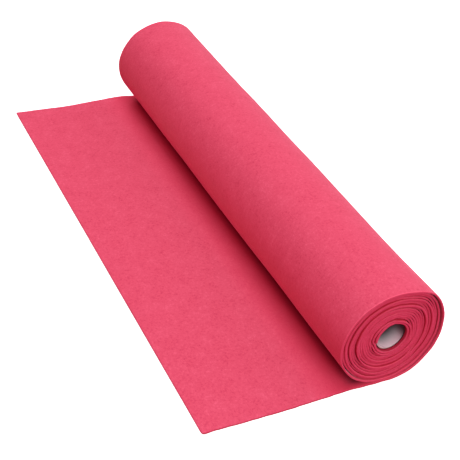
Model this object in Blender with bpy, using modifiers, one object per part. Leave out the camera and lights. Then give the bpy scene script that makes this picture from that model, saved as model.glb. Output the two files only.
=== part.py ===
"""Roll of felt: one long cut of felt wound on a cardboard core, with its outer end unrolled on the table.

The roll lies along Y and its near end faces -Y. The table is z = 0, the loose end runs to -X, and the origin
is on the table at the middle of the whole outline.
"""

import math

import bmesh
import bpy

MM = 0.001

# The felt
FELT = 1.5 * MM
PRESSED = 0.35 * MM
FREE_END = -150.0 * MM
FREE_END_SKEW = 1.2 * MM
LIFT_FROM = 0.5

# The roll: its axis is a little lower, further left and smaller at the far end
ROLL_HEIGHT = 44.0 * MM
FAR_TAPER = 0.985
FAR_DRIFT = -1.9 * MM
NEAR_Y = -223.5 * MM
FAR_Y = 222.0 * MM

# The cardboard core
CORE_RADIUS = 12.2 * MM
CORE_WALL = 1.0 * MM
CORE_NEAR_Y = -220.5 * MM
CORE_FAR_Y = 222.0 * MM
CORE_STEPS = 48
SEAT = 0.32 * MM

# How finely the turns are cut
STEP_DEG = 6
COLUMNS = 360 // STEP_DEG
SHEET_STEP = 11.0 * MM
SHEET_ROWS = (0.0, 0.08, 0.5, 0.8, 0.93, 1.0)

# The turns run up the right side from the table, over the top and down the left, and inwards as they go
LIFT_OFF_DEG = -80
BOTTOM_DEG = -90
TURN_END_DEG = BOTTOM_DEG + 360
TAIL_DEG = 446
SEAM_DEG = 192

# Over the top of the roll the second turn dives under the rim and is one with the close turns
JOIN_DEG = (44, 72)
DIVE_DEG = 420
TAIL_DIVE = 2.2 * MM

# Outline of the loose end, in mm: place along X from the roll's axis, near edge, far edge, lift of the far edge
SHEET_OUTLINE = (
    (-150.0, -224.0, 226.2, 0.0),
    (-149.3, -225.5, 226.2, 0.0),
    (-147.6, -226.2, 226.2, 0.0),
    (-138.0, -225.8, 226.1, 0.0),
    (-96.0, -225.6, 226.1, 0.0),
    (-69.0, -224.8, 226.1, 1.3),
    (-42.0, -223.4, 226.1, 2.6),
    (-27.0, -222.8, 226.1, 1.7),
    (-10.0, -223.0, 226.1, 0.0),
    (7.8, -223.0, 226.0, 0.0),
)

# Outermost turn: angle in degrees, outer radius in mm, near edge in mm, far edge in mm
TURN = (
    (-80, 44.68, -223.0, 226.0),
    (-69, 44.95, -223.1, 225.8),
    (-58, 45.50, -223.2, 225.5),
    (-45, 44.20, -223.4, 225.0),
    (-28, 42.95, -223.5, 224.3),
    (0, 42.40, -223.5, 223.4),
    (30, 43.50, -223.5, 222.7),
    (49, 44.10, -223.5, 222.4),
    (76, 43.10, -223.5, 222.1),
    (105, 43.60, -223.4, 222.0),
    (133, 44.30, -223.3, 222.0),
    (156, 43.90, -223.3, 222.0),
    (180, 43.60, -223.2, 222.1),
    (218, 42.50, -223.0, 222.3),
    (245, 42.50, -222.8, 222.6),
    (270, 42.60, -222.6, 223.0),
    (360, 42.60, -222.3, 223.4),
    (420, 42.60, -222.1, 223.6),
    (450, 42.60, -220.2, 222.6),
)

# Air under a turn: angle in degrees, gap in mm to the turn inside it
AIR = (
    (-90, 0.35),
    (-80, 0.38),
    (-69, 0.90),
    (-59, 1.60),
    (-45, 1.50),
    (-12, 1.50),
    (2, 1.70),
    (30, 1.50),
    (49, 1.20),
    (62, 0.60),
    (76, 0.38),
    (150, 0.40),
    (180, 0.80),
    (208, 1.05),
    (228, 0.95),
    (248, 0.55),
    (262, 0.36),
    (285, 0.40),
    (300, 0.60),
    (330, 0.80),
    (360, 0.80),
    (385, 0.60),
    (404, 0.36),
)

# Twists of the close turns: share of the wall from bore to rim, crown at the near end, crown at the far end in mm
TWISTS = (
    (0.00, -221.7, 225.0),
    (0.17, -221.6, 224.9),
    (0.30, -220.9, 224.4),
    (0.43, -220.7, 224.1),
    (0.55, -222.0, 224.9),
    (0.68, -220.9, 224.0),
    (0.84, -221.1, 223.6),
    (0.93, -221.2, 223.4),
    (1.00, -221.3, 223.2),
)
GROOVE = 0.8 * MM
RELIEF_STEPS = 15

# The tucked start of the felt covers the core's edge on the left: angle in degrees, radius of the mouth in mm
MOUTH = (
    (-170, 12.42),
    (90, 12.42),
    (106, 12.30),
    (140, 11.20),
    (180, 9.80),
    (192, 12.42),
)
MOUTH_NEAR_Y = -221.7 * MM
MOUTH_BACK_Y = -220.9 * MM
BORE_FAR_Y = 224.2 * MM

FELT_COLOUR = (0.80, 0.075, 0.15, 1.0)
FELT_ROUGHNESS = 0.95
CARDBOARD_COLOUR = (0.72, 0.68, 0.70, 1.0)
CARDBOARD_ROUGHNESS = 0.85
SHARP_DEG = 40
MERGE = 0.01 * MM


def lerp(start, end, share):
    return start + (end - start) * share


def ease(start, end, at):
    """0 before start, 1 after end, and a smooth rise between them."""
    share = min(max((at - start) / (end - start), 0.0), 1.0)
    return share * share * (3 - 2 * share)


def read(table, at, column):
    """A column of a table at any place along its first column, on a curve through its rows."""
    places = [row[0] for row in table]
    if at <= places[0]:
        return table[0][column]
    if at >= places[-1]:
        return table[-1][column]
    row = max(index for index, place in enumerate(places) if place <= at)
    span = places[row + 1] - places[row]
    share = (at - places[row]) / span
    low, high = table[row][column], table[row + 1][column]

    def slope(index):
        before, after = max(index - 1, 0), min(index + 1, len(table) - 1)
        return (table[after][column] - table[before][column]) / (places[after] - places[before])

    square, cube = share**2, share**3
    return (
        (2 * cube - 3 * square + 1) * low
        + (cube - 2 * square + share) * span * slope(row)
        + (3 * square - 2 * cube) * high
        + (cube - square) * span * slope(row + 1)
    )


def read_straight(table, at, column):
    """The same, on straight lines between the rows."""
    for low, high in zip(table, table[1:]):
        if at <= high[0]:
            return lerp(low[column], high[column], (at - low[0]) / (high[0] - low[0]))
    return table[-1][column]


def air(angle):
    """The gap under the turn at this angle, counted on past a full turn."""
    return max(read(AIR, angle, 1) * MM, PRESSED)


def turn_radius(angle):
    """Outer radius of the loose outer turns: the second lies inside the first, and both sit flat at the bottom."""
    if angle > TURN_END_DEG:
        return turn_radius(angle - 360) - FELT - air(angle - 360)
    if angle < LIFT_OFF_DEG:
        return ROLL_HEIGHT / math.cos(math.radians(angle - BOTTOM_DEG))
    radius = read(TURN, angle, 1) * MM
    from_bottom = math.radians(angle - TURN_END_DEG)
    if abs(from_bottom) < math.pi / 4:
        radius = min(radius, (ROLL_HEIGHT - FELT - PRESSED) / math.cos(from_bottom))
    return radius


def wound_radius(angle):
    """Outer radius of the close turns, which take in the second turn's end over the top of the roll."""
    angle = (angle - BOTTOM_DEG) % 360 + BOTTOM_DEG
    under_first = turn_radius(angle) - FELT - air(angle)
    if angle >= JOIN_DEG[1]:
        return under_first
    under_second = turn_radius(angle + 360) - FELT - air(angle + 360)
    return lerp(under_second, under_first, ease(*JOIN_DEG, angle))


def placed(angle, radius, y):
    """A point at an angle and radius about the roll's axis, which drifts from the near end to the far end."""
    along = (y - NEAR_Y) / (FAR_Y - NEAR_Y)
    taper = lerp(1.0, FAR_TAPER, along)
    rest = FELT + PRESSED
    x = lerp(0.0, FAR_DRIFT, along) + taper * radius * math.cos(math.radians(angle))
    z = rest + taper * (ROLL_HEIGHT - rest + radius * math.sin(math.radians(angle)))
    return x, y, max(z, 0.0)


def bored(angle, radius, y):
    """A point of the bore, whose radius stays the core's all along."""
    x, _, z = placed(angle, 0.0, y)
    return x + radius * math.cos(math.radians(angle)), y, z + radius * math.sin(math.radians(angle))


def sheet_column(x):
    """One column of points across the loose end, on its underside."""
    near, far, lift = (read_straight(SHEET_OUTLINE, x / MM, column) * MM for column in (1, 2, 3))
    points = []
    for share in SHEET_ROWS:
        skew = FREE_END_SKEW * share * x / FREE_END
        points.append((x + skew, lerp(near, far, share), lift * ease(LIFT_FROM, 1.0, share)))
    return points


def turn_column(angle):
    """One column of points across an outer turn, on its outer side."""
    near, far = (read(TURN, angle, column) * MM for column in (2, 3))
    radius = turn_radius(angle) - TAIL_DIVE * ease(DIVE_DEG, TAIL_DEG, angle)
    return [placed(angle, radius, lerp(near, far, share)) for share in SHEET_ROWS]


def sheet_columns():
    """All columns of the loose end and the outer turns, from the free end inwards."""
    corner = [row[0] * MM for row in SHEET_OUTLINE[:3]]
    last = SHEET_OUTLINE[-1][0] * MM
    count = round((last - corner[-1]) / SHEET_STEP)
    flat = corner + [lerp(corner[-1], last, (index + 1) / count) for index in range(count - 1)]
    first_angle = LIFT_OFF_DEG + STEP_DEG - LIFT_OFF_DEG % STEP_DEG
    angles = [LIFT_OFF_DEG, *range(first_angle, TAIL_DEG, STEP_DEG), TAIL_DEG]
    return [sheet_column(x) for x in flat] + [turn_column(angle) for angle in angles]


def middle_of_outline():
    """X of the middle of the whole outline, from the roll's axis."""
    xs = [x for column in sheet_columns() for x, _, _ in column]
    return (min(xs) + max(xs)) / 2


def grid(bm, columns):
    """An open surface through columns of points."""
    rows = [[bm.verts.new(point) for point in column] for column in columns]
    for left, right in zip(rows, rows[1:]):
        for index in range(len(left) - 1):
            bm.faces.new((left[index], left[index + 1], right[index + 1], right[index]))


def mouth_radius(angle):
    return read_straight(MOUTH, angle, 1) * MM


def bore_radius(_angle):
    return CORE_RADIUS + SEAT


def loop_of(bm, place, radius_at, y):
    """A closed loop of points round the axis, one for each column of the close turns."""
    angles = [SEAM_DEG - STEP_DEG * index for index in range(COLUMNS)]
    return [bm.verts.new(place(angle, radius_at(angle), y)) for angle in angles]


def band(bm, first, second):
    """A strip of faces between two closed loops."""
    for index in range(COLUMNS):
        after = (index + 1) % COLUMNS
        bm.faces.new((first[index], first[after], second[after], second[index]))


def wound_end(bm, bore, rim, column, inwards):
    """One end of the close turns: a spiral of crowns and grooves from the bore's loop out to the rim's loop.

    The groove line starts on the bore at the seam, and each turn of it lies one twist further out. Past the
    tucked start of the felt the turns are round again.
    """
    round_bore = loop_of(bm, bored, bore_radius, bore[0].co.y)
    turns = len(TWISTS) - 1
    last = turns * COLUMNS

    def share_at(step):
        turn = min(max(step / COLUMNS, 0.0), turns)
        low = min(int(turn), turns - 1)
        return lerp(TWISTS[low][0], TWISTS[low + 1][0], turn - low)

    def crown_y(share):
        return read(TWISTS, share, column) * MM

    def spiral_point(step, share, depth):
        inner, outer = round_bore[step % COLUMNS].co, rim[step % COLUMNS].co
        point = inner.lerp(outer, share)
        relief = ease(0, RELIEF_STEPS, step) * ease(last + COLUMNS, last + COLUMNS - RELIEF_STEPS, step)
        point.y = lerp(point.y, crown_y(share) + depth * inwards, relief)
        return bm.verts.new(point)

    groove = [bore[0]]
    for step in range(1, last):
        groove.append(spiral_point(step, share_at(step), GROOVE))
    groove += [rim[step % COLUMNS] for step in range(last, last + COLUMNS + 1)]
    inside = [bore[step % COLUMNS] for step in range(COLUMNS + 1)] + groove[1:]

    crown = [bore[0]]
    for step in range(1, last + COLUMNS):
        share = (share_at(step - COLUMNS) + share_at(step)) / 2
        crown.append(spiral_point(step, share, 0.0))
    crown.append(rim[0])

    for step in range(last + COLUMNS):
        for low, high in ((inside, crown), (crown, groove)):
            corners = [low[step], low[step + 1], high[step + 1], high[step]]
            bm.faces.new(list(dict.fromkeys(corners)))
    for vert in round_bore:
        bm.verts.remove(vert)


def close_turns(bm):
    """The close turns: rim and bore walls lofted from end to end, with a wound face at each end."""
    rim_near_y = TWISTS[-1][1] * MM
    rim_far_y = TWISTS[-1][2] * MM
    rims = [loop_of(bm, placed, wound_radius, y) for y in (rim_near_y, 0.0, rim_far_y)]
    bores = [
        loop_of(bm, bored, mouth_radius, MOUTH_NEAR_Y),
        loop_of(bm, bored, mouth_radius, MOUTH_BACK_Y),
        loop_of(bm, bored, bore_radius, MOUTH_BACK_Y),
        loop_of(bm, bored, bore_radius, BORE_FAR_Y),
    ]
    for first, second in [*zip(rims, rims[1:]), *zip(bores, bores[1:])]:
        band(bm, first, second)
    wound_end(bm, bores[0], rims[0], column=1, inwards=1)
    wound_end(bm, bores[-1], rims[-1], column=2, inwards=-1)
    bmesh.ops.recalc_face_normals(bm, faces=bm.faces)


def clear_scene():
    for obj in list(bpy.data.objects):
        bpy.data.objects.remove(obj, do_unlink=True)


def new_collection(name):
    collection = bpy.data.collections.new(name)
    bpy.context.scene.collection.children.link(collection)
    return collection


def plain_material(name, colour, roughness):
    material = bpy.data.materials.new(name)
    material.use_nodes = True
    shader = material.node_tree.nodes["Principled BSDF"]
    shader.inputs["Base Color"].default_value = colour
    shader.inputs["Roughness"].default_value = roughness
    shader.inputs["Metallic"].default_value = 0.0
    return material


def felt_material():
    return plain_material("felt", FELT_COLOUR, FELT_ROUGHNESS)


def cardboard_material():
    return plain_material("cardboard", CARDBOARD_COLOUR, CARDBOARD_ROUGHNESS)


def new_object(name, bm, collection, material=None):
    mesh = bpy.data.meshes.new(name)
    bm.to_mesh(mesh)
    bm.free()
    mesh.shade_smooth()
    mesh.set_sharp_from_angle(angle=math.radians(SHARP_DEG))
    if material:
        mesh.materials.append(material)
    obj = bpy.data.objects.new(name, mesh)
    collection.objects.link(obj)
    return obj


def build_outer_turns(helpers, axis_x):
    """The loose end and the two outer turns, as one sheet of felt."""
    bm = bmesh.new()
    grid(bm, sheet_columns())
    obj = new_object("outer_turns", bm, helpers)
    obj.location.x = axis_x
    thickness = obj.modifiers.new("felt thickness", "SOLIDIFY")
    thickness.thickness = FELT
    thickness.offset = -1
    thickness.use_even_offset = True
    obj.hide_render = True
    obj.display_type = "WIRE"
    return obj


def build_felt(parts, outer_turns, axis_x):
    """The close turns, joined to the outer turns and the loose end."""
    bm = bmesh.new()
    close_turns(bm)
    obj = new_object("felt", bm, parts, felt_material())
    obj.location.x = axis_x
    join = obj.modifiers.new("one length of felt", "BOOLEAN")
    join.operation = "UNION"
    join.object = outer_turns
    return obj


def build_core(parts, axis_x):
    """The cardboard tube, turned about its own axis and laid along the roll's."""
    near = placed(0.0, 0.0, CORE_NEAR_Y)
    far = placed(0.0, 0.0, CORE_FAR_Y)
    length = math.dist(near, far)
    profile = [
        (CORE_RADIUS, length),
        (CORE_RADIUS, 0.0),
        (CORE_RADIUS - CORE_WALL, 0.0),
        (CORE_RADIUS - CORE_WALL, length),
    ]
    bm = bmesh.new()
    ring = [bm.verts.new((radius, 0.0, height)) for radius, height in profile]
    for index, vert in enumerate(ring):
        bm.edges.new((vert, ring[(index + 1) % len(ring)]))
    obj = new_object("core", bm, parts, cardboard_material())
    turned = obj.modifiers.new("turned", "SCREW")
    turned.steps = CORE_STEPS
    turned.render_steps = CORE_STEPS
    turned.merge_threshold = MERGE
    across = far[0] - near[0]
    down = far[2] - near[2]
    obj.rotation_euler = (math.asin(down / length) - math.pi / 2, 0.0, math.atan2(-across, far[1] - near[1]))
    obj.location = (near[0] + axis_x, near[1], near[2])
    return obj


def main():
    clear_scene()
    parts = new_collection("roll_of_felt")
    helpers = new_collection("helpers")
    axis_x = -middle_of_outline()
    outer_turns = build_outer_turns(helpers, axis_x)
    build_felt(parts, outer_turns, axis_x)
    build_core(parts, axis_x)


main()
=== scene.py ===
"""Roll of felt on a cardboard core, with its outer end unrolled on a white table.

The roll lies along Y with its near end towards -Y, and the loose end runs to -X. The felt is one long
sheet: flat on the table, up the right side of the roll, over the top, and inwards turn by turn to the core.
"""

import logging
import math
from dataclasses import dataclass, field
from enum import Enum
from typing import Any, Callable, NamedTuple, Sequence

import bpy
from mathutils import Matrix, Vector


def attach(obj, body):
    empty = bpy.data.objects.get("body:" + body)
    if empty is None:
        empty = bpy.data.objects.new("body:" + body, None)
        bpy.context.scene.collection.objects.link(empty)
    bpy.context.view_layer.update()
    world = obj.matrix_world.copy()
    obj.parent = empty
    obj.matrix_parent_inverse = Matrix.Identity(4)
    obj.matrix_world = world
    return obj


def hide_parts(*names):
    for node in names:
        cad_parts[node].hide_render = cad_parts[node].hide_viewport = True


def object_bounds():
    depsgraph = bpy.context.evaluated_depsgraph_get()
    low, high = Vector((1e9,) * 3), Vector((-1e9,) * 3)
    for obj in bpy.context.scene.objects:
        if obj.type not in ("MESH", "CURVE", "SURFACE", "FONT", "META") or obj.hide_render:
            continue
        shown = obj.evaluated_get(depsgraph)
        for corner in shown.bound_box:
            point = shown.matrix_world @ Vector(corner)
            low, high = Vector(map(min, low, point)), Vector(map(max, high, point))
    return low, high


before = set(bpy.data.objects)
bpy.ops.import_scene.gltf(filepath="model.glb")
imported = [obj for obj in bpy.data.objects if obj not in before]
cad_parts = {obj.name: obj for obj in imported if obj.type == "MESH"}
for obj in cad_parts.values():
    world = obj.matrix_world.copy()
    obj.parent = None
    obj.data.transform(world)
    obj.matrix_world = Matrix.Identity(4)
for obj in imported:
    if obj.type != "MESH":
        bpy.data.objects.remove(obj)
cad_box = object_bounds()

LOG = logging.getLogger("roll_of_felt")
MM = 0.001

Colour = tuple[float, float, float]


def lerp(start: float, end: float, share: float) -> float:
    """A value between start and end."""
    return start + (end - start) * share


def ease(start: float, end: float, at: float) -> float:
    """0 before start, 1 after end, and a smooth rise between them."""
    share = min(max((at - start) / (end - start), 0.0), 1.0)
    return share * share * (3 - 2 * share)


def bump(start: float, end: float, soft: float, at: float) -> float:
    """1 from start to end, and 0 further than soft outside them."""
    return ease(start - soft, start, at) * (1 - ease(end, end + soft, at))


def read(table: Sequence[Any], at: float, column: str) -> float:
    """Reads a column of a table on a smooth curve through its rows.

    Args:
        table: Rows that are sorted by their first field.
        at: Place along the first field.
        column: Name of the field to read.

    Returns:
        The value at that place, or an end row's value beyond the ends.
    """
    places = [row[0] for row in table]
    values = [getattr(row, column) for row in table]
    if at <= places[0]:
        return values[0]
    if at >= places[-1]:
        return values[-1]
    low = max(index for index, place in enumerate(places) if place <= at)
    span = places[low + 1] - places[low]
    share = (at - places[low]) / span

    def slope(index: int) -> float:
        """Slope of the curve at a row."""
        before, after = max(index - 1, 0), min(index + 1, len(table) - 1)
        return (values[after] - values[before]) / (places[after] - places[before])

    square, cube = share**2, share**3
    return (
        (2 * cube - 3 * square + 1) * values[low]
        + (cube - 2 * square + share) * span * slope(low)
        + (3 * square - 2 * cube) * values[low + 1]
        + (cube - square) * span * slope(low + 1)
    )


def read_straight(table: Sequence[Any], at: float, column: str) -> float:
    """Reads a column of a table on straight lines between its rows.

    Args:
        table: Rows that are sorted by their first field.
        at: Place along the first field.
        column: Name of the field to read.

    Returns:
        The value at that place.
    """
    for low, high in zip(table, table[1:]):
        if at <= high[0]:
            share = max((at - low[0]) / (high[0] - low[0]), 0.0)
            return lerp(getattr(low, column), getattr(high, column), share)
    return getattr(table[-1], column)


# Shapes of the felt and the core


class OutlineRow(NamedTuple):
    """The loose end at one place along X from the roll's axis, in mm."""

    x: float
    near: float
    far: float
    lift: float


class TurnRow(NamedTuple):
    """The outermost turn at one angle in degrees, in mm."""

    angle: float
    radius: float
    near: float
    far: float


class AirRow(NamedTuple):
    """The air under a turn at one angle in degrees, in mm."""

    angle: float
    gap: float


class StartRow(NamedTuple):
    """The gap between the core and the innermost turn, by degrees back from the felt's start, in mm."""

    back: float
    gap: float


class ProudRow(NamedTuple):
    """Turns that stand proud, counted from the felt's start at the core: first, last, and how far in mm."""

    start: float
    end: float
    soft: float
    near: float
    far: float


class CreviceRow(NamedTuple):
    """Close turns that lie apart, counted from the felt's start: first, last, how soft, and gap in mm."""

    start: float
    end: float
    soft: float
    gap: float


OUTLINE = (
    OutlineRow(-150.0, -224.0, 226.2, 0.0),
    OutlineRow(-149.3, -225.5, 226.2, 0.0),
    OutlineRow(-147.6, -226.2, 226.2, 0.0),
    OutlineRow(-138.0, -225.8, 226.1, 0.0),
    OutlineRow(-96.0, -225.6, 226.1, 0.0),
    OutlineRow(-69.0, -224.8, 226.1, 1.3),
    OutlineRow(-42.0, -223.4, 226.1, 2.6),
    OutlineRow(-27.0, -222.8, 226.1, 1.7),
    OutlineRow(-10.0, -223.0, 226.1, 0.0),
    OutlineRow(7.8, -223.0, 226.0, 0.0),
)

TURN = (
    TurnRow(-80, 44.68, -223.0, 226.0),
    TurnRow(-69, 44.95, -223.1, 225.8),
    TurnRow(-58, 45.80, -223.2, 225.5),
    TurnRow(-45, 44.95, -223.4, 225.0),
    TurnRow(-28, 44.00, -223.5, 224.3),
    TurnRow(0, 43.40, -223.5, 223.4),
    TurnRow(30, 43.65, -223.5, 222.7),
    TurnRow(49, 44.10, -223.5, 222.4),
    TurnRow(76, 43.10, -223.5, 222.1),
    TurnRow(105, 43.60, -223.4, 222.0),
    TurnRow(133, 44.30, -223.3, 222.0),
    TurnRow(156, 43.90, -223.3, 222.0),
    TurnRow(180, 43.60, -223.2, 222.1),
    TurnRow(218, 42.50, -223.0, 222.3),
    TurnRow(245, 42.50, -222.8, 222.6),
    TurnRow(270, 42.60, -222.6, 223.0),
    TurnRow(360, 42.60, -222.2, 223.4),
    TurnRow(420, 42.60, -221.9, 223.4),
    TurnRow(470, 42.60, -221.3, 223.2),
)

AIR = (
    AirRow(-90, 0.35),
    AirRow(-80, 0.38),
    AirRow(-69, 0.90),
    AirRow(-59, 1.60),
    AirRow(-45, 1.50),
    AirRow(-12, 1.50),
    AirRow(2, 1.70),
    AirRow(30, 1.20),
    AirRow(49, 0.95),
    AirRow(62, 0.90),
    AirRow(76, 0.95),
    AirRow(150, 1.00),
    AirRow(180, 0.95),
    AirRow(208, 0.85),
    AirRow(228, 0.75),
    AirRow(248, 0.55),
    AirRow(262, 0.36),
    AirRow(285, 0.40),
    AirRow(300, 0.60),
    AirRow(330, 0.80),
    AirRow(360, 0.80),
    AirRow(385, 0.50),
)

START = (
    StartRow(0, 0.10),
    StartRow(40, 0.35),
    StartRow(140, 0.45),
    StartRow(190, 0.80),
    StartRow(250, 0.95),
    StartRow(330, 1.15),
)

PROUD = (
    ProudRow(0.00, 0.25, 0.04, 0.9, 0.6),
    ProudRow(0.31, 0.96, 0.05, 0.9, 0.4),
    ProudRow(1.00, 1.25, 0.04, 0.3, -0.6),
    ProudRow(1.31, 1.94, 0.05, 1.7, 0.5),
    ProudRow(2.00, 2.28, 0.05, -1.5, 0.2),
    ProudRow(2.33, 2.90, 0.05, -0.8, 0.7),
    ProudRow(3.00, 3.30, 0.08, 0.4, -0.5),
    ProudRow(5.20, 5.90, 0.15, 0.35, -0.4),
    ProudRow(8.70, 9.80, 0.08, 1.3, 0.8),
    ProudRow(9.90, 10.70, 0.08, -0.7, -0.3),
    ProudRow(11.80, 12.75, 0.08, 1.0, 0.3),
    ProudRow(12.90, 13.25, 0.08, -0.5, 0.0),
    ProudRow(13.30, 14.10, 0.08, 0.7, -0.4),
)

CREVICES = (
    CreviceRow(1.40, 2.80, 0.30, 0.42),
    CreviceRow(4.30, 4.70, 0.20, 0.20),
    CreviceRow(8.40, 9.00, 0.20, 0.42),
    CreviceRow(10.60, 11.20, 0.25, 0.30),
    CreviceRow(12.60, 13.60, 0.20, 0.45),
    CreviceRow(14.20, 14.60, 0.20, 0.25),
)


@dataclass(frozen=True)
class Roll:
    """The shape that the felt is wound to: a slightly flattened roll whose far end is a little smaller."""

    axis_x: float
    felt: float = 1.5 * MM
    loosest: float = 1.68 * MM
    pressed: float = 0.35 * MM
    height: float = 44.0 * MM
    far_taper: float = 0.985
    far_drift: float = -1.9 * MM
    near_y: float = -223.5 * MM
    far_y: float = 222.0 * MM
    core_radius: float = 12.2 * MM
    bottom: float = -90.0
    lift_off: float = -80.0
    join: float = 404.0
    start: float = 188.0 + 16 * 360
    tightest: float = 0.04 * MM
    overlap: float = 385.0
    unevenness: float = 0.22 * MM
    even_by_foot: tuple[float, float] = (25.0, 70.0)
    flare: float = 1.1 * MM
    flare_reach: float = 95.0 * MM
    flare_side: tuple[float, float] = (-5.0, 50.0)
    flare_soft: float = 40.0

    def innermost(self, angle: float) -> float:
        """Outer radius of the last turn, which starts on the core and stands a little off it further back."""
        back = self.start - angle
        return self.core_radius + self.felt + read_straight(START, back, "gap") * MM

    def turns_between(self, angle: float) -> int:
        """How many turns lie between a turn under the loose ones and the innermost one at the same side."""
        return math.floor((self.start - angle) / 360)

    def close_gap(self) -> float:
        """The air between close turns, where they begin under the second turn."""
        first = self.loose(self.join)
        count = self.turns_between(self.join)
        return (first - self.innermost(self.join + 360 * count)) / count - self.felt

    def air(self, angle: float) -> float:
        """The air under a loose turn at an angle, which runs on past a full turn."""
        rows = (*AIR, AirRow(self.join, self.close_gap() / MM)) if angle > self.overlap else AIR
        return max(read(rows, angle, "gap") * MM, self.tightest)

    def loose(self, angle: float) -> float:
        """Outer radius of the loose outer turns: each lies inside the one before it."""
        if angle > self.bottom + 360:
            return self.loose(angle - 360) - self.felt - self.air(angle - 360)
        if angle < self.lift_off:
            return self.height / math.cos(math.radians(angle - self.bottom))
        radius = read(TURN, angle, "radius") * MM
        from_bottom = math.radians(angle - self.bottom - 360)
        if abs(from_bottom) < math.pi / 4:
            radius = min(radius, (self.height - self.felt - self.pressed) / math.cos(from_bottom))
        return radius

    def radius(self, angle: float) -> tuple[float, float]:
        """Outer radius of the felt at any angle along its whole length.

        Args:
            angle: Degrees from the right side, counted on turn after turn from the table to the core.

        Returns:
            The outer radius and the distance to the next turn inwards.
        """
        if angle < self.join:
            return self.loose(angle), self.felt + self.air(angle)
        passed = math.floor((angle - self.join) / 360)
        left = self.turns_between(angle)
        first = self.loose(angle - 360 * passed)
        last = self.innermost(angle + 360 * left)
        total = passed + left
        return lerp(first, last, passed / total), (first - last) / total

    def swell(self, angle: float, y: float) -> float:
        """Slight unevenness of the roll's surface, the same on every turn and none where it rests."""
        turn = math.radians(angle)
        wave = (
            math.sin(2 * turn + 23 * y + 0.6)
            + 0.7 * math.sin(3 * turn - 41 * y + 2.1)
            + 0.5 * math.sin(5 * turn + 67 * y)
        )
        off_bottom = abs((angle - self.bottom + 180) % 360 - 180)
        return self.unevenness * wave * ease(*self.even_by_foot, off_bottom)

    def flared(self, angle: float, y: float) -> float:
        """How far the outer turns stand out on the right of the near end."""
        side = (angle + 180) % 360 - 180
        reach = 1 - ease(0.0, self.flare_reach, y - self.near_y)
        return self.flare * reach * bump(*self.flare_side, self.flare_soft, side)

    def place(self, angle: float, radius: float, y: float) -> Vector:
        """A point at an angle and radius about the roll's axis.

        Args:
            angle: Degrees from the right side.
            radius: Distance from the axis at the near end.
            y: Place along the roll.

        Returns:
            The point in the object's frame.
        """
        along = (y - self.near_y) / (self.far_y - self.near_y)
        taper = lerp(1.0, self.far_taper, along)
        rest = self.felt + self.pressed
        radius += (self.swell(angle, y) + self.flared(angle, y)) * (radius / self.height) ** 2
        turn = math.radians(angle)
        x = self.axis_x + lerp(0.0, self.far_drift, along) + taper * radius * math.cos(turn)
        z = rest + taper * (self.height - rest + radius * math.sin(turn))
        return Vector((x, y, max(z, self.felt / 2)))

    def axis(self, y: float) -> Vector:
        """The roll's axis at a place along it."""
        along = (y - self.near_y) / (self.far_y - self.near_y)
        taper = lerp(1.0, self.far_taper, along)
        rest = self.felt + self.pressed
        x = self.axis_x + lerp(0.0, self.far_drift, along)
        return Vector((x, y, rest + taper * (self.height - rest)))


@dataclass
class Column:
    """One line across the felt's width, from its near edge to its far edge."""

    near: float
    far: float
    thickness: float
    place: Callable[[float, float], Vector]
    close: bool = False


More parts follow.
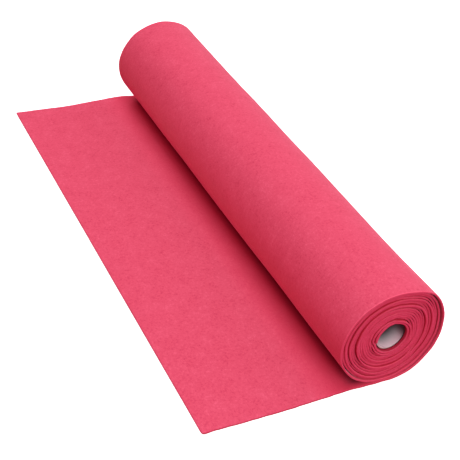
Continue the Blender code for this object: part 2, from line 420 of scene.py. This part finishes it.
@dataclass
class FeltSheet:
    """The whole length of felt as one thin sheet."""

    roll: Roll
    free_end: float = -150.0 * MM
    free_end_skew: float = 1.2 * MM
    edge_steps: tuple[float, ...] = tuple(
        step * MM for step in (0.0, 0.3, 0.8, 1.5, 2.2, 2.8, 3.6, 6.0, 12.0, 25.0)
    )
    edge_thickness: tuple[float, ...] = (0.70, 0.93, 1.0)
    close_edge_thickness: tuple[float, ...] = (0.90, 0.98, 1.0)
    end_thickness: float = 0.6
    middle_rows: int = 15
    table_step: float = 3.75 * MM
    first_step: float = 2.0
    turn_step: float = 3.0
    close_step: float = 6.0
    dish_near: tuple[float, float] = (-221.2 * MM, -221.2 * MM)
    dish_far: tuple[float, float] = (224.2 * MM, 223.2 * MM)
    wound: tuple[float, float] = (400.0, 470.0)
    near_wander: float = 0.17 * MM
    far_wander: float = 0.22 * MM
    far_dip: float = 2.0 * MM
    far_dip_side: tuple[float, float] = (122.0, 138.0)
    far_dip_soft: float = 38.0
    mouth: float = 12.3 * MM
    mouth_side: float = 158.0
    mouth_reach: float = 60.0
    mouth_turn: tuple[float, float] = (300.0, 450.0)
    slot: float = 0.60 * MM
    slot_side: float = 20.0
    lip_from: float = 1.6 * MM
    lip_to: float = 3.1 * MM
    table_waves: float = 0.175 * MM
    calm_by_roll: tuple[float, float] = (-45.0 * MM, -15.0 * MM)
    lifted: tuple[float, float] = (0.5, 1.0)
    edge_waver: float = 0.12 * MM
    places: list[tuple[int, int]] = field(default_factory=list, init=False)

    def waver(self, along: float, phase: float) -> float:
        """How far a cut edge wanders from its line."""
        return self.edge_waver * (
            math.sin(2.9 * along + phase)
            + 0.8 * math.sin(7.3 * along + 2 * phase)
            + 0.6 * math.sin(17.0 * along)
        )

    def table_column(self, x: float) -> Column:
        """A line across the loose end on the table.

        Args:
            x: Place along X from the roll's axis.

        Returns:
            The column there.
        """
        near, far = (read_straight(OUTLINE, x / MM, name) * MM for name in ("near", "far"))
        lift = read(OUTLINE, x / MM, "lift") * MM
        near += self.waver(x * 60, 0.3)
        far += self.waver(x * 55, 1.9)
        wavy = 1 - ease(*self.calm_by_roll, x)

        def place(y: float, _from_edge: float) -> Vector:
            """A point in the felt's middle plane."""
            share = (y - near) / (far - near)
            skew = self.free_end_skew * share * x / self.free_end
            wave = 1 + math.sin(52 * x + 17 * y) * math.sin(31 * y + 0.8) * math.cos(23 * x + 9 * y)
            height = self.roll.felt / 2 + self.table_waves * wave * wavy + lift * ease(*self.lifted, share)
            return Vector((self.roll.axis_x + x + skew, y, height))

        return Column(near, far, self.roll.felt, place)

    def edges(self, angle: float) -> tuple[float, float]:
        """Where the near and far cut edges of a turn lie along the roll.

        Args:
            angle: Degrees along the felt's whole length.

        Returns:
            The near and the far place.
        """
        start = self.roll.start
        turns_in = (start - angle) / 360
        outward = (angle - self.roll.join) / (start - self.roll.join)
        near = lerp(*reversed(self.dish_near), outward)
        far = lerp(*reversed(self.dish_far), outward)
        for row in PROUD:
            share = bump(row.start, row.end, row.soft, turns_in)
            near -= row.near * MM * share
            far += row.far * MM * share
        turn = math.radians(angle)
        near += self.near_wander * (
            math.sin(0.61 * turn + 1.0) + math.sin(1.37 * turn + 0.4) + 0.6 * math.sin(2.9 * turn)
        )
        far += self.far_wander * (
            math.sin(0.53 * turn + 2.0) + math.sin(1.21 * turn) + 0.6 * math.sin(3.3 * turn + 1)
        )
        outer_near, outer_far = (read(TURN, angle, name) * MM for name in ("near", "far"))
        wound = ease(*self.wound, angle)
        near = lerp(outer_near, near, wound) + self.waver(turn, 0.9)
        dip = self.far_dip * bump(*self.far_dip_side, self.far_dip_soft, angle % 360)
        far = lerp(outer_far, far, wound) + self.waver(turn, 2.2) - dip
        return near, far

    def lean(self, angle: float, outer: float) -> float:
        """How far the felt's start, and the turn outside it, lean in over the core's edge at the near end.

        Args:
            angle: Degrees along the felt's whole length.
            outer: Outer radius of the felt there.

        Returns:
            The distance towards the axis, which is less than 0 where the turn stands off instead.
        """
        back = self.roll.start - angle
        side = angle % 360 - self.mouth_side
        if back > self.mouth_turn[1] or abs(side) > self.mouth_reach:
            return 0.0
        if back > self.mouth_turn[0]:
            return -self.slot * bump(-self.slot_side, self.slot_side, self.slot_side, side)
        return max(outer - self.roll.felt - self.mouth / math.cos(math.radians(side)), 0.0)

    def turn_column(self, angle: float) -> Column:
        """A line across the felt where it is wound.

        Args:
            angle: Degrees along the felt's whole length.

        Returns:
            The column there.
        """
        outer, pitch = self.roll.radius(angle)
        thickness = self.roll.felt
        if angle > self.roll.join:
            turns_in = (self.roll.start - angle) / 360
            thickness = min(self.roll.loosest, pitch - self.roll.tightest)
            thickness -= sum(row.gap * MM * bump(row.start, row.end, row.soft, turns_in) for row in CREVICES)
        near, far = self.edges(angle)
        lean = self.lean(angle, outer)

        def place(y: float, from_near_edge: float) -> Vector:
            """A point in the felt's middle plane."""
            leaning = lean * (1 - ease(self.lip_from, self.lip_to, from_near_edge))
            return self.roll.place(angle, outer - self.roll.felt / 2 - leaning, y)

        return Column(near, far, thickness, place, close=angle > self.roll.join)

    def columns(self) -> list[Column]:
        """All columns, from the free end to the start at the core."""
        corner = [row.x * MM for row in OUTLINE[:3]]
        last = OUTLINE[-1].x * MM
        count = round((last - corner[-1]) / self.table_step)
        flat = corner + [lerp(corner[-1], last, (index + 1) / count) for index in range(count - 1)]
        angles = [self.roll.lift_off, self.roll.lift_off + self.first_step]
        while angles[-1] < self.roll.join - self.turn_step:
            angles.append(angles[-1] + self.turn_step)
        angles = [angle for angle in angles if angle < self.roll.join - self.turn_step]
        angle = math.ceil(self.roll.join / self.close_step) * self.close_step
        while angle < self.roll.start:
            angles.append(angle)
            angle += self.close_step
        angles.append(self.roll.start)
        return [self.table_column(x) for x in flat] + [self.turn_column(angle) for angle in angles]

    def row_places(self, column: Column) -> list[float]:
        """Places along the roll of a column's points, close together at both cut edges."""
        inner = self.edge_steps[-1]
        middle = [
            lerp(column.near + inner, column.far - inner, (index + 1) / (self.middle_rows + 1))
            for index in range(self.middle_rows)
        ]
        near = [column.near + step for step in self.edge_steps]
        far = [column.far - step for step in reversed(self.edge_steps)]
        return near + middle + far

    def build(self) -> tuple[bpy.types.Object, float]:
        """Models the sheet from a flat grid.

        Returns:
            The felt and its length when it is unrolled.
        """
        columns = self.columns()
        rows = 2 * len(self.edge_steps) + self.middle_rows
        bpy.ops.object.select_all(action="DESELECT")
        bpy.ops.mesh.primitive_grid_add(x_subdivisions=len(columns) - 1, y_subdivisions=rows - 1, size=1.0)
        felt = bpy.context.object
        felt.name = felt.data.name = "felt_cloth"
        points: list[list[Vector]] = []
        for column in columns:
            points.append([column.place(y, y - column.near) for y in self.row_places(column)])
        along = [0.0]
        middle = rows // 2
        for before, after in zip(points, points[1:]):
            along.append(along[-1] + (after[middle] - before[middle]).length)
        self.fold_grid(felt, points)
        self.lay_out_uv(felt, points, along)
        self.mark_thickness(felt, columns, rows)
        self.mark_close_turns(felt, columns)
        thickness = felt.modifiers.new("felt thickness", "SOLIDIFY")
        thickness.thickness = self.roll.loosest
        thickness.offset = 0.0
        thickness.vertex_group = "thickness"
        thickness.thickness_vertex_group = 0.0
        bpy.ops.object.modifier_apply(modifier=thickness.name)
        bpy.ops.object.shade_smooth()
        return felt, along[-1]

    @staticmethod
    def grid_place(felt: bpy.types.Object, columns: int, rows: int) -> list[tuple[int, int]]:
        """Column and row of each vertex of a unit grid."""
        return [
            (round((vertex.co.x + 0.5) * (columns - 1)), round((vertex.co.y + 0.5) * (rows - 1)))
            for vertex in felt.data.vertices
        ]

    def fold_grid(self, felt: bpy.types.Object, points: list[list[Vector]]) -> None:
        """Moves each point of the grid to its place on the rolled sheet.

        Args:
            felt: The flat unit grid.
            points: A place for each column and row.
        """
        self.places = self.grid_place(felt, len(points), len(points[0]))
        flat: list[float] = []
        for column, row in self.places:
            flat.extend(points[column][row])
        felt.data.vertices.foreach_set("co", flat)
        felt.data.update()

    def lay_out_uv(self, felt: bpy.types.Object, points: list[list[Vector]], along: list[float]) -> None:
        """Gives the sheet a map of its unrolled size in metres.

        Args:
            felt: The sheet.
            points: A place for each column and row.
            along: Length along the felt at each column.
        """
        layer = felt.data.uv_layers.active or felt.data.uv_layers.new()
        layer.name = "unrolled"
        flat: list[float] = []
        from_edge: list[float] = []
        for loop in felt.data.loops:
            column, row = self.places[loop.vertex_index]
            line = points[column]
            flat.extend((along[column], line[row].y))
            from_edge.extend((min((line[row] - line[0]).length, (line[row] - line[-1]).length), 0.0))
        layer.data.foreach_set("uv", flat)
        felt.data.uv_layers.new(name="from_cut_edge", do_init=False).data.foreach_set("uv", from_edge)

    def mark_close_turns(self, felt: bpy.types.Object, columns: list[Column]) -> None:
        """Puts the close turns, whose nap is pressed flat, on a second slot.

        Args:
            felt: The sheet.
            columns: Its columns.
        """
        felt.data.materials.append(None)
        felt.data.materials.append(None)
        for face in felt.data.polygons:
            column = min(self.places[vertex][0] for vertex in face.vertices)
            face.material_index = int(columns[column].close)

    def mark_thickness(self, felt: bpy.types.Object, columns: list[Column], rows: int) -> None:
        """Thins the felt at its soft cut edges and where turns are pressed.

        Args:
            felt: The sheet.
            columns: Its columns.
            rows: How many points each column has.
        """
        group = felt.vertex_groups.new(name="thickness")
        last = len(columns) - 1
        for index, (column, row) in enumerate(self.places):
            weight = columns[column].thickness / self.roll.loosest
            from_edge = min(row, rows - 1 - row)
            rounding = self.close_edge_thickness if columns[column].close else self.edge_thickness
            if from_edge < len(rounding):
                weight *= rounding[from_edge]
            if column in (0, last):
                weight *= self.end_thickness
            group.add([index], min(weight, 1.0), "REPLACE")


@dataclass
class CardboardTube:
    """The core: a paper tube along the roll's axis."""

    roll: Roll
    wall: float = 1.0 * MM
    near_y: float = -220.1 * MM
    far_y: float = 222.0 * MM
    sides: int = 96
    worn_edge: float = 0.22 * MM
    edge_angle: float = 40.0
    smooth_angle: float = 35.0
    seen_end: float = -200.0 * MM

    def build(self) -> bpy.types.Object:
        """Models the tube upright and lays it along the axis.

        Returns:
            The tube, with its inside and outside on one slot and its cut ends on another.
        """
        near, far = self.roll.axis(self.near_y), self.roll.axis(self.far_y)
        length = (far - near).length
        bpy.ops.object.select_all(action="DESELECT")
        bpy.ops.mesh.primitive_cylinder_add(
            vertices=self.sides, radius=self.roll.core_radius, depth=length, end_fill_type="NOTHING"
        )
        tube = bpy.context.object
        tube.name = tube.data.name = "cardboard_tube"
        wall = tube.modifiers.new("wall", "SOLIDIFY")
        wall.thickness = self.wall
        wall.offset = -1.0
        wall.material_offset_rim = 1
        tube.data.materials.append(None)
        tube.data.materials.append(None)
        bpy.ops.object.modifier_apply(modifier=wall.name)
        soft = tube.modifiers.new("worn edge", "BEVEL")
        soft.width = self.worn_edge
        soft.segments = 2
        soft.angle_limit = math.radians(self.edge_angle)
        soft.material = 1
        bpy.ops.object.modifier_apply(modifier=soft.name)
        tube.rotation_mode = "QUATERNION"
        tube.rotation_quaternion = (far - near).to_track_quat("Z", "Y")
        tube.location = (near + far) / 2
        bpy.ops.object.transform_apply(location=True, rotation=True, scale=True)
        bpy.ops.object.shade_smooth_by_angle(angle=math.radians(self.smooth_angle))
        return tube


# Finishes of the felt, the cardboard and the studio


class Sock:
    """A shader value that can stand in arithmetic."""

    def __init__(self, nodes: "Nodes", socket: bpy.types.NodeSocket) -> None:
        """Keeps the socket and the tree it is in."""
        self.nodes = nodes
        self.socket = socket

    def math(self, operation: str, *others: "Sock | float") -> "Sock":
        """This value with others through one Math node."""
        return self.nodes.add("ShaderNodeMath", {"operation": operation}, dict(enumerate((self, *others))))

    def __add__(self, other: "Sock | float") -> "Sock":
        """Sum."""
        return self.math("ADD", other)

    __radd__ = __add__

    def __sub__(self, other: "Sock | float") -> "Sock":
        """Difference."""
        return self.math("SUBTRACT", other)

    def __rsub__(self, other: float) -> "Sock":
        """Difference the other way round."""
        return self.nodes.add("ShaderNodeMath", {"operation": "SUBTRACT"}, {0: other, 1: self})

    def __mul__(self, other: "Sock | float") -> "Sock":
        """Product."""
        return self.math("MULTIPLY", other)

    __rmul__ = __mul__

    def __truediv__(self, other: "Sock | float") -> "Sock":
        """Quotient."""
        return self.math("DIVIDE", other)

    def between(self, low: float, high: float) -> "Sock":
        """0 below low, 1 above high and smooth between them."""
        return self.nodes.add(
            "ShaderNodeMapRange",
            {"interpolation_type": "SMOOTHSTEP"},
            {"Value": self, "From Min": low, "From Max": high},
        )


class Nodes:
    """The node tree of one material."""

    def __init__(self, name: str) -> None:
        """Starts an empty material of this name."""
        self.material = bpy.data.materials.new(name)
        self.material.use_nodes = True
        self.tree = self.material.node_tree
        self.tree.nodes.clear()

    def add(
        self, kind: str, settings: dict[str, Any], inputs: dict[str | int, Any], out: str | int = 0
    ) -> Sock:
        """Makes one node.

        Args:
            kind: The node's type.
            settings: Its properties, which are set first.
            inputs: Values or links by socket name or number.
            out: The output that is wanted.

        Returns:
            That output.
        """
        node = self.tree.nodes.new(kind)
        for name, value in settings.items():
            setattr(node, name, value)
        for name, value in inputs.items():
            if isinstance(value, Sock):
                self.tree.links.new(value.socket, node.inputs[name])
            else:
                node.inputs[name].default_value = value
        return Sock(self, node.outputs[out])

    def mix(self, share: Sock | float, first: Sock | Colour, second: Sock | Colour) -> Sock:
        """Mixes two colours.

        Args:
            share: 0 for the first colour, 1 for the second.
            first: A colour or a link.
            second: A colour or a link.

        Returns:
            The mixed colour.
        """
        inputs = {0: share, 6: self.opaque(first), 7: self.opaque(second)}
        return self.add("ShaderNodeMix", {"data_type": "RGBA"}, inputs, out=2)

    @staticmethod
    def opaque(colour: Sock | Colour) -> Sock | tuple[float, float, float, float]:
        """A colour as a colour socket takes it."""
        return colour if isinstance(colour, Sock) else (*colour, 1.0)

    def object_place(self) -> Sock:
        """Place in the object's frame, in metres."""
        return self.add("ShaderNodeTexCoord", {}, {}, out="Object")

    def noise(self, where: Sock, scale: float, detail: float = 2.0, roughness: float = 0.5) -> Sock:
        """Soft noise between about 0 and 1."""
        inputs = {"Vector": where, "Scale": scale, "Detail": detail, "Roughness": roughness}
        return self.add("ShaderNodeTexNoise", {}, inputs)

    def part(self, vector: Sock, axis: str) -> Sock:
        """One of a vector's three parts."""
        return self.add("ShaderNodeSeparateXYZ", {}, {"Vector": vector}, out=axis)

    def stretched(self, where: Sock, scale: tuple[float, float, float]) -> Sock:
        """A place drawn out along its axes."""
        return self.add("ShaderNodeMapping", {}, {"Vector": where, "Scale": scale})

    def finish(self, inputs: dict[str, Any]) -> bpy.types.Material:
        """Ends the tree in one surface shader.

        Args:
            inputs: Values or links of the shader's sockets.

        Returns:
            The material.
        """
        shader = self.add("ShaderNodeBsdfPrincipled", {}, inputs, out="BSDF")
        output = self.tree.nodes.new("ShaderNodeOutputMaterial")
        self.tree.links.new(shader.socket, output.inputs["Surface"])
        return self.material


@dataclass(frozen=True)
class FeltFinish:
    """Pressed fibres: a matt, slightly clouded colour with a pale bloom where the light grazes its nap."""

    name: str = "felt"
    nap: float = 0.50
    colour: Colour = (0.69, 0.110, 0.193)
    deep: Colour = (0.59, 0.068, 0.133)
    pale: Colour = (0.76, 0.163, 0.260)
    # Pale loose fibres along the wound cut edges, partly a painted highlight where the edges catch the light.
    pale_fibres_and_edge_highlight: Colour = (0.92, 0.190, 0.300)
    cut_side: Colour = (0.46, 0.026, 0.060)
    cut_end: Colour = (0.71, 0.080, 0.176)
    # Painted shade on the felt's faces between the close turns, seen in the grooves of the end face.
    painted_shade_between_turns: Colour = (0.55, 0.012, 0.045)
    # Painted contact shadow in the fold where the roll's foot meets the sheet on the table.
    painted_fold_shadow: Colour = (0.12, 0.010, 0.026)
    # Painted red bounce light: a richer red in the shade beside the fold, on the table and on the roll's
    # shaded side.
    painted_bounce_tint: Colour = (0.76, 0.076, 0.160)
    fold_open: tuple[float, float] = (1.0 * MM, 7.0 * MM)
    leaves_table: tuple[float, float] = (0.13, 0.20)
    fold_below: tuple[float, float, float, float] = (0.1185, 0.130, 0.160, 0.175)
    fold_above: tuple[float, float, float, float] = (0.365, 0.410, 0.430, 0.450)
    fold_sides: tuple[float, float, float, float] = (0.085, 0.118, 0.320, 0.360)
    covered: tuple[float, float] = (0.46, 0.48)
    bloom: Colour = (1.0, 0.62, 0.70)
    cloud_size: float = 14.0 * MM
    tuft_size: float = 2.4 * MM
    fibre_size: float = 0.9 * MM
    fibre_lie: tuple[float, float, float] = (1.0, 0.45, 1.0)
    cut_depth: float = 0.25 * MM
    edge_highlight_band: tuple[float, float] = (0.45 * MM, 1.08 * MM)
    inside_turns: tuple[float, float] = (0.3 * MM, 1.3 * MM)
    cloud_tone: float = 1.2
    tuft_tone: float = 2.4
    fibre_tone: float = 2.2
    frayed: float = 0.9
    tone_range: float = 0.9
    bounce_on_roll: float = 0.6
    bounce_share: float = 0.8
    fold_shadow_share: float = 0.75
    edge_highlight_share: float = 0.5
    shade_between_turns_share: float = 0.7
    cut_share: float = 0.8
    relief: float = 0.6

    def make(self) -> bpy.types.Material:
        """Builds the material."""
        nodes = Nodes(self.name)
        place = nodes.object_place()
        unrolled = nodes.add("ShaderNodeUVMap", {"uv_map": "unrolled"}, {})
        edge_map = nodes.add("ShaderNodeUVMap", {"uv_map": "from_cut_edge"}, {})
        clouds = nodes.noise(place, 1 / self.cloud_size, 3.0, 0.6)
        tufts = nodes.noise(place, 1 / self.tuft_size, 3.0, 0.7)
        drawn = nodes.stretched(unrolled, self.fibre_lie)
        fibres = nodes.noise(drawn, 1 / self.fibre_size, 3.0, 0.7)
        from_edge, along = nodes.part(edge_map, "X"), nodes.part(unrolled, "X")
        cut = 1 - from_edge.between(0.0, self.cut_depth)
        patchy = (clouds - 0.5) * self.cloud_tone
        fibrous = (tufts - 0.5) * self.tuft_tone + (fibres - 0.5) * self.fibre_tone
        tone = patchy + fibrous * (cut * self.frayed + 1)
        low = nodes.mix((0.0 - tone).between(0.0, self.tone_range), self.colour, self.deep)
        colour = nodes.mix(tone.between(0.0, self.tone_range), low, self.pale)
        # Band near the cut edges that takes the pale fibres and the painted edge highlight.
        edge_highlight_band = (1 - cut) * (1 - from_edge.between(*self.edge_highlight_band))
        # Painted red bounce light on the sheet beside the roll and on the roll's shaded side.
        below, above = along.between(*self.fold_sides[:2]), along.between(*self.fold_sides[2:])
        on_table = below * (1 - along.between(*self.leaves_table))
        on_roll = above * (1 - along.between(*self.covered)) * self.bounce_on_roll
        colour = nodes.mix((on_table + on_roll) * self.bounce_share, colour, self.painted_bounce_tint)
        # Painted contact shadow on both sides of the fold, fading towards the cut edges where the fold opens.
        for fold in (self.fold_below, self.fold_above):
            fold_shadow = along.between(*fold[:2]) * (1 - along.between(*fold[2:]))
            shaded = fold_shadow * from_edge.between(*self.fold_open) * self.fold_shadow_share
            colour = nodes.mix(shaded, colour, self.painted_fold_shadow)
        wound = along.between(*self.leaves_table)
        # Pale fibres and painted highlight along the cut edges of the wound turns.
        colour = nodes.mix(edge_highlight_band * wound * self.edge_highlight_share, colour, self.pale_fibres_and_edge_highlight)
        # Painted shade: faces of the covered turns away from the cut edge go dark, as in the grooves between
        # turns.
        hidden = from_edge.between(*self.inside_turns) * along.between(*self.covered)
        colour = nodes.mix(hidden * self.shade_between_turns_share, colour, self.painted_shade_between_turns)
        cut_face = nodes.mix(wound, self.cut_side, self.cut_end)
        colour = nodes.mix(cut * self.cut_share, colour, cut_face)
        height = tufts * self.relief + fibres * self.relief
        relief = nodes.add("ShaderNodeBump", {}, {"Strength": 0.6, "Distance": 0.5 * MM, "Height": height})
        return nodes.finish(
            {
                "Base Color": colour,
                "Roughness": 0.95,
                "Specular IOR Level": 0.15,
                "Sheen Weight": self.nap,
                "Sheen Roughness": 0.34,
                "Sheen Tint": (*self.bloom, 1.0),
                "Normal": relief,
            }
        )


class CardboardFace(Enum):
    """The two kinds of surface on a paper tube."""

    LINER = "cardboard_liner"
    CUT_END = "cardboard_cut_end"


@dataclass(frozen=True)
class CardboardFinish:
    """Pale paper wound on a slant, with a raw cardboard edge; the tube's outside and cut end are painted near
    black as the shade of the gap round the core.
    """

    face: CardboardFace
    liner: Colour = (0.90, 1.0, 1.0)
    # Painted shade deeper in the tube and on its upper wall; also the colour of the paper's dark specks.
    painted_shade_and_specks: Colour = (0.035, 0.024, 0.032)
    seam: Colour = (0.52, 0.47, 0.52)
    # Near black: the cut end and outside of the tube, painted as the shade in the gap between core and felt.
    board_in_painted_shade: Colour = (0.034, 0.022, 0.018)
    ply_in_painted_shade: Colour = (0.016, 0.011, 0.010)
    lip: Colour = (0.60, 0.64, 0.56)
    lip_radius: float = 11.30 * MM
    half_length: float = 220.5 * MM
    shade_depth: tuple[float, float] = (2.0 * MM, 17.5 * MM)
    upper_side: tuple[float, float] = (-11.0 * MM, 7.5 * MM)
    outside: tuple[float, float] = (11.5 * MM, 11.9 * MM)
    slant: float = 52.0 * MM
    seam_width: float = 0.035
    seam_share: float = 0.4
    grain_size: float = 1.2 * MM
    grain_share: float = 0.25
    grain_relief: float = 0.3
    ply: float = 0.33 * MM
    ply_soft: float = 0.35
    lip_soft: float = 1.02

    def make(self, axis: Vector) -> bpy.types.Material:
        """Builds the material.

        Args:
            axis: A point on the tube's axis.

        Returns:
            The material for this kind of face.
        """
        nodes = Nodes(self.face.value)
        place = nodes.object_place()
        centred = nodes.add("ShaderNodeMapping", {}, {"Vector": place, "Location": (-axis.x, 0.0, -axis.z)})
        x, y, z = (nodes.part(centred, axis_name) for axis_name in "XYZ")
        radius = (x * x + z * z).math("SQRT")
        grain = nodes.noise(place, 1 / self.grain_size, 3.0, 0.6)
        if self.face is CardboardFace.LINER:
            around = z.math("ARCTAN2", x) / (2 * math.pi)
            band = (around + y / self.slant).math("FRACT")
            off_seam = (band - 0.5).math("ABSOLUTE")
            seam = 1.0 - off_seam.between(0.0, self.seam_width)
            # Painted shade: the paper darkens with depth into the tube and on its upper wall.
            inside = self.half_length - y.math("ABSOLUTE")
            lit = (1 - inside.between(*self.shade_depth)) * (1 - z.between(*self.upper_side))
            paper = nodes.mix(lit, self.painted_shade_and_specks, self.liner)
            colour = nodes.mix(seam * self.seam_share, paper, self.seam)
            # The tube's outside is painted near black as the shade in the gap round it.
            colour = nodes.mix(radius.between(*self.outside), colour, self.board_in_painted_shade)
            specks = (grain - 0.5).between(0.0, 1.2) * self.grain_share
            colour = nodes.mix(specks, colour, self.painted_shade_and_specks)
            height = grain * self.grain_relief - seam
        else:
            # The cut end is painted near black as shade, with darker ply lines.
            off_ply = ((radius / self.ply).math("FRACT") - 0.5).math("ABSOLUTE")
            colour = nodes.mix(off_ply.between(0.0, self.ply_soft), self.ply_in_painted_shade, self.board_in_painted_shade)
            off_lip = radius.between(self.lip_radius, self.lip_soft * self.lip_radius)
            colour = nodes.mix(1 - off_lip, colour, self.lip)
            height = grain
        relief = nodes.add("ShaderNodeBump", {}, {"Strength": 0.4, "Distance": 0.15 * MM, "Height": height})
        return nodes.finish(
            {"Base Color": colour, "Roughness": 0.8, "Specular IOR Level": 0.3, "Normal": relief}
        )


@dataclass(frozen=True)
class WhiteFinish:
    """A bright white surface of the studio, on which shadows hardly show."""

    name: str
    glow: float
    colour: Colour = (0.90, 0.90, 0.90)
    grain_colour: Colour = (0.88, 0.88, 0.88)

    def make(self) -> bpy.types.Material:
        """Builds the material."""
        nodes = Nodes(self.name)
        grain = nodes.noise(nodes.object_place(), 40.0)
        colour = nodes.mix(grain.between(0.3, 0.8), self.colour, self.grain_colour)
        return nodes.finish(
            {
                "Base Color": colour,
                "Roughness": 0.9,
                "Specular IOR Level": 0.0,
                "Emission Color": (1.0, 1.0, 1.0, 1.0),
                "Emission Strength": self.glow,
            }
        )


# Studio: light, table and camera


@dataclass(frozen=True)
class SoftLight:
    """A large lamp that looks at the roll."""

    name: str
    place: tuple[float, float, float]
    size: float
    watts: float

    def build(self) -> None:
        """Hangs the lamp."""
        bpy.ops.object.light_add(type="AREA", location=self.place)
        lamp = bpy.context.object
        lamp.name = lamp.data.name = self.name
        lamp.data.shape = "DISK"
        lamp.data.size = self.size
        lamp.data.energy = self.watts
        lamp.rotation_mode = "QUATERNION"
        lamp.rotation_quaternion = (-Vector(self.place)).to_track_quat("-Z", "Y")


@dataclass(frozen=True)
class Studio:
    """White table, soft light from above and all sides, and the camera at the photograph's angle."""

    axis_x: float
    lamps: tuple[SoftLight, ...] = (
        SoftLight("overhead", (-0.2, 0.0, 1.8), 1.2, 12.4),
        SoftLight("front_window", (-0.25, -1.6, 1.1), 1.0, 13.4),
        SoftLight("right_window", (1.3, 0.1, 1.3), 1.2, 4.2),
        SoftLight("back_window", (0.1, 1.6, 1.1), 1.0, 8.9),
        SoftLight("table_bounce", (1.0, -0.5, 0.12), 0.7, 2.6),
    )
    table_size: float = 12.0
    table_gap: float = 0.2 * MM
    table_glow: float = 0.93
    surround_radius: float = 8.0
    surround_glow: float = 1.0
    sky: float = 0.49
    sky_colour: Colour = (1.0, 0.06, 0.21)
    camera_from_roll: tuple[float, float, float] = (-0.4105, -0.6845, 0.5589)
    azimuth: float = 29.718
    down: float = 35.871
    roll_angle: float = 7.40
    lens: float = 85.07

    def build(self) -> None:
        """Makes the table, the lamps, the sky and the camera."""
        bpy.ops.object.select_all(action="DESELECT")
        bpy.ops.mesh.primitive_plane_add(size=self.table_size, location=(0.0, 0.0, -self.table_gap))
        self.set_stage("white_table", self.table_glow)
        bpy.ops.mesh.primitive_uv_sphere_add(segments=48, ring_count=24, radius=self.surround_radius)
        self.set_stage("white_surround", self.surround_glow)
        for lamp in self.lamps:
            lamp.build()
        self.build_sky()
        self.build_camera()

    @staticmethod
    def set_stage(name: str, glow: float) -> None:
        """Names and whitens a piece of the studio. Only the camera sees it, so no glare reaches the roll.

        Args:
            name: The piece's name.
            glow: How much white it gives off of itself.
        """
        piece = bpy.context.object
        piece.name = piece.data.name = name
        piece.data.materials.append(WhiteFinish(name, glow).make())
        piece.visible_diffuse = piece.visible_glossy = piece.visible_shadow = False

    def build_sky(self) -> None:
        """Lights the scene softly from all round, in the rosy tint that felt throws into a pale room."""
        scene = bpy.context.scene
        world = bpy.data.worlds.new("studio_sky")
        world.use_nodes = True
        sky = world.node_tree.nodes["Background"]
        sky.inputs["Color"].default_value = (*self.sky_colour, 1.0)
        sky.inputs["Strength"].default_value = self.sky
        scene.world = world
        scene.view_settings.view_transform = "Standard"

    def build_camera(self) -> None:
        """Sets the camera as the photograph was taken."""
        turn, down, roll = (math.radians(angle) for angle in (self.azimuth, self.down, self.roll_angle))
        forward = Vector((math.sin(turn) * math.cos(down), math.cos(turn) * math.cos(down), -math.sin(down)))
        level = Vector((math.cos(turn), -math.sin(turn), 0.0))
        above = level.cross(forward)
        right = math.cos(roll) * level + math.sin(roll) * above
        up = math.cos(roll) * above - math.sin(roll) * level
        data = bpy.data.cameras.new("camera")
        data.lens = self.lens
        data.sensor_width = 36.0
        data.clip_start = 0.01
        camera = bpy.data.objects.new("camera", data)
        bpy.context.scene.collection.objects.link(camera)
        x, y, z = self.camera_from_roll
        turned = Matrix((right, up, -forward)).transposed().to_4x4()
        camera.matrix_world = Matrix.Translation((x + self.axis_x, y, z)) @ turned
        bpy.context.scene.camera = camera


def main() -> None:
    """Builds every piece, dresses it and puts it in the studio."""
    logging.basicConfig(level=logging.INFO, format="%(name)s: %(message)s")
    free_end = FeltSheet.free_end
    axis_x = cad_box[0].x - free_end
    roll = Roll(axis_x)

    tube = CardboardTube(roll).build()
    middle = (roll.axis(0.0) + roll.axis(CardboardTube.seen_end)) / 2
    for index, face in enumerate(CardboardFace):
        tube.data.materials[index] = CardboardFinish(face).make(middle)
    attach(tube, "root")
    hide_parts("core")
    LOG.info("cardboard tube: %d faces", len(tube.data.polygons))

    felt, length = FeltSheet(roll).build()
    felt.data.materials[0] = FeltFinish().make()
    felt.data.materials[1] = FeltFinish("felt_close_turns", nap=0.0).make()
    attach(felt, "root")
    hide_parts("felt")
    LOG.info("felt: %d faces, %.2f m unrolled", len(felt.data.polygons), length)

    Studio(axis_x).build()


if __name__ == "__main__":
    main()
